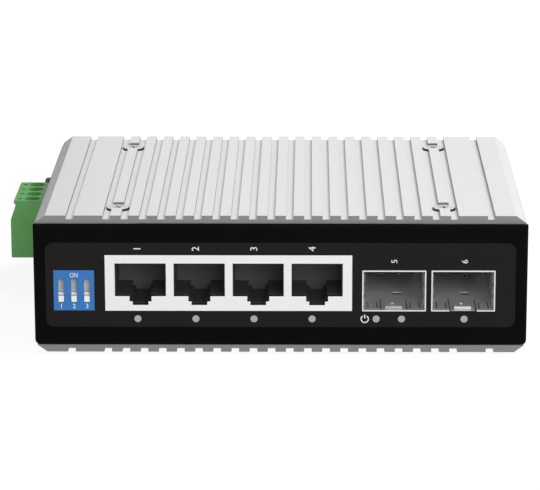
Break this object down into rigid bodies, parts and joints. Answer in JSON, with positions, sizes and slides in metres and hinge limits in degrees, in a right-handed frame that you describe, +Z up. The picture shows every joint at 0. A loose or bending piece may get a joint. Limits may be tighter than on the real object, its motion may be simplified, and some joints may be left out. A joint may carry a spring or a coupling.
{
  "type": "din rail ethernet switch",
  "caption": "Flat finned box with network sockets, transceiver cages, mode switches, a plug-in power terminal at one end and a rail clip behind.",
  "frame": {"origin": "middle of the lower cover, on its fin tops", "axes": "+X along the long side towards the SFP cages, +Y to the rear where the rail clip is, +Z up; the front panel faces -Y"},
  "size_m": [0.1296, 0.0943, 0.034],
  "materials": {
    "cover_aluminium": "fine blasted, clear anodised",
    "chassis_aluminium": "satin folded sheet",
    "panel_black": "fine matt moulding",
    "label_film": "printed film",
    "cover_screw_steel": "zinc plated",
    "zinc_steel": "zinc plated",
    "board_green": "solder resist",
    "standoff_brass": "turned",
    "jack_plastic": "moulded",
    "tinned_sheet": "tin plated",
    "contact_gold": "gold plated",
    "connector_black": "moulded",
    "switch_blue": "moulded",
    "switch_black": "moulded",
    "knob_white": "moulded",
    "pipe_clear": "frosted clear",
    "led_resin": "clear resin",
    "terminal_green": "moulded",
    "terminal_metal": "nickel plated",
    "earth_black": "black zinc",
    "clip_steel": "zinc plated",
    "latch_black": "moulded",
    "spring_steel": "drawn wire",
    "chip_black": "moulded",
    "pad_grey": "soft pad",
    "spreader_aluminium": "milled",
    "can_sleeve": "sleeved can",
    "ferrite": "sintered"
  },
  "bodies": {
    "housing": {"board_screws": "zinc_steel", "board_standoffs": "standoff_brass", "bottom_cover": "cover_aluminium", "bottom_cover_screws": "cover_screw_steel", "chassis_wrap": "chassis_aluminium", "din_bracket": "clip_steel", "din_nuts": "zinc_steel", "din_screws": "zinc_steel", "din_spring": "spring_steel", "dip_switch_base": "switch_black", "dip_switch_body": "switch_blue", "earth_nut": "zinc_steel", "earth_screw": "earth_black", "earth_washer": "earth_black", "front_label": "label_film", "front_panel": "panel_black", "header_pins": "terminal_metal", "heat_spreader": "spreader_aluminium", "led_chips": "led_resin", "light_pipe_port_1": "pipe_clear", "light_pipe_port_2": "pipe_clear", "light_pipe_port_3": "pipe_clear", "light_pipe_port_4": "pipe_clear", "light_pipe_port_5": "pipe_clear", "light_pipe_port_6": "pipe_clear", "light_pipe_power": "pipe_clear", "line_transformers": "chip_black", "main_board": "board_green", "power_capacitors": "can_sleeve", "power_inductor": "ferrite", "rj45_contacts_1": "contact_gold", "rj45_contacts_2": "contact_gold", "rj45_contacts_3": "contact_gold", "rj45_contacts_4": "contact_gold", "rj45_housing": "jack_plastic", "rj45_shield": "tinned_sheet", "sfp_cage_5": "tinned_sheet", "sfp_cage_6": "tinned_sheet", "sfp_connector_5": "connector_black", "sfp_connector_6": "connector_black", "switch_chip": "chip_black", "terminal_header": "terminal_green", "thermal_pad": "pad_grey", "top_cover": "cover_aluminium", "top_cover_screws": "cover_screw_steel"},
    "dip_slider_1": {"dip_slider_1": "knob_white"},
    "dip_slider_2": {"dip_slider_2": "knob_white"},
    "dip_slider_3": {"dip_slider_3": "knob_white"},
    "power_plug": {"plug_body": "terminal_green", "plug_contacts": "terminal_metal"},
    "rail_latch": {"din_latch": "latch_black"},
    "clamp_screw_1": {"plug_screw_1": "terminal_metal"},
    "clamp_1": {"plug_clamp_1": "terminal_metal"},
    "clamp_screw_2": {"plug_screw_2": "terminal_metal"},
    "clamp_2": {"plug_clamp_2": "terminal_metal"},
    "clamp_screw_3": {"plug_screw_3": "terminal_metal"},
    "clamp_3": {"plug_clamp_3": "terminal_metal"},
    "clamp_screw_4": {"plug_screw_4": "terminal_metal"},
    "clamp_4": {"plug_clamp_4": "terminal_metal"}
  },
  "joints": [
    {"name": "mode_switch_1_slide", "type": "slide", "parent": "housing", "child": "dip_slider_1", "axis": [0, 0, 1], "range_m": [0, 0.00395]},
    {"name": "mode_switch_2_slide", "type": "slide", "parent": "housing", "child": "dip_slider_2", "axis": [0, 0, 1], "range_m": [0, 0.00395]},
    {"name": "mode_switch_3_slide", "type": "slide", "parent": "housing", "child": "dip_slider_3", "axis": [0, 0, 1], "range_m": [0, 0.00395]},
    {"name": "power_plug_slide", "type": "slide", "parent": "housing", "child": "power_plug", "axis": [-1, 0, 0], "range_m": [0, 0.0084]},
    {"name": "rail_latch_slide", "type": "slide", "parent": "housing", "child": "rail_latch", "axis": [1, 0, 0], "range_m": [0, 0.0034], "stiffness_N_per_m": 800, "springref_m": -0.003, "deforming": ["din_spring"]},
    {"name": "clamp_screw_1_turn", "type": "hinge", "parent": "power_plug", "child": "clamp_screw_1", "pos_m": [-0.0648, 0.01208, 0.022], "axis": [0, 0, -1], "range_deg": [0, 1800.5]},
    {"name": "clamp_1_rise", "type": "slide", "parent": "power_plug", "child": "clamp_1", "axis": [0, 0, 1], "range_m": [0, 0.0025]},
    {"name": "clamp_screw_2_turn", "type": "hinge", "parent": "power_plug", "child": "clamp_screw_2", "pos_m": [-0.0648, 0.01716, 0.022], "axis": [0, 0, -1], "range_deg": [0, 1800.5]},
    {"name": "clamp_2_rise", "type": "slide", "parent": "power_plug", "child": "clamp_2", "axis": [0, 0, 1], "range_m": [0, 0.0025]},
    {"name": "clamp_screw_3_turn", "type": "hinge", "parent": "power_plug", "child": "clamp_screw_3", "pos_m": [-0.0648, 0.02224, 0.022], "axis": [0, 0, -1], "range_deg": [0, 1800.5]},
    {"name": "clamp_3_rise", "type": "slide", "parent": "power_plug", "child": "clamp_3", "axis": [0, 0, 1], "range_m": [0, 0.0025]},
    {"name": "clamp_screw_4_turn", "type": "hinge", "parent": "power_plug", "child": "clamp_screw_4", "pos_m": [-0.0648, 0.02732, 0.022], "axis": [0, 0, -1], "range_deg": [0, 1800.5]},
    {"name": "clamp_4_rise", "type": "slide", "parent": "power_plug", "child": "clamp_4", "axis": [0, 0, 1], "range_m": [0, 0.0025]}
  ],
  "couplings": [
    {"joint": "clamp_screw_1_turn", "follows": "clamp_1_rise", "rad_per_m": 12566},
    {"joint": "clamp_screw_2_turn", "follows": "clamp_2_rise", "rad_per_m": 12566},
    {"joint": "clamp_screw_3_turn", "follows": "clamp_3_rise", "rad_per_m": 12566},
    {"joint": "clamp_screw_4_turn", "follows": "clamp_4_rise", "rad_per_m": 12566}
  ]
}
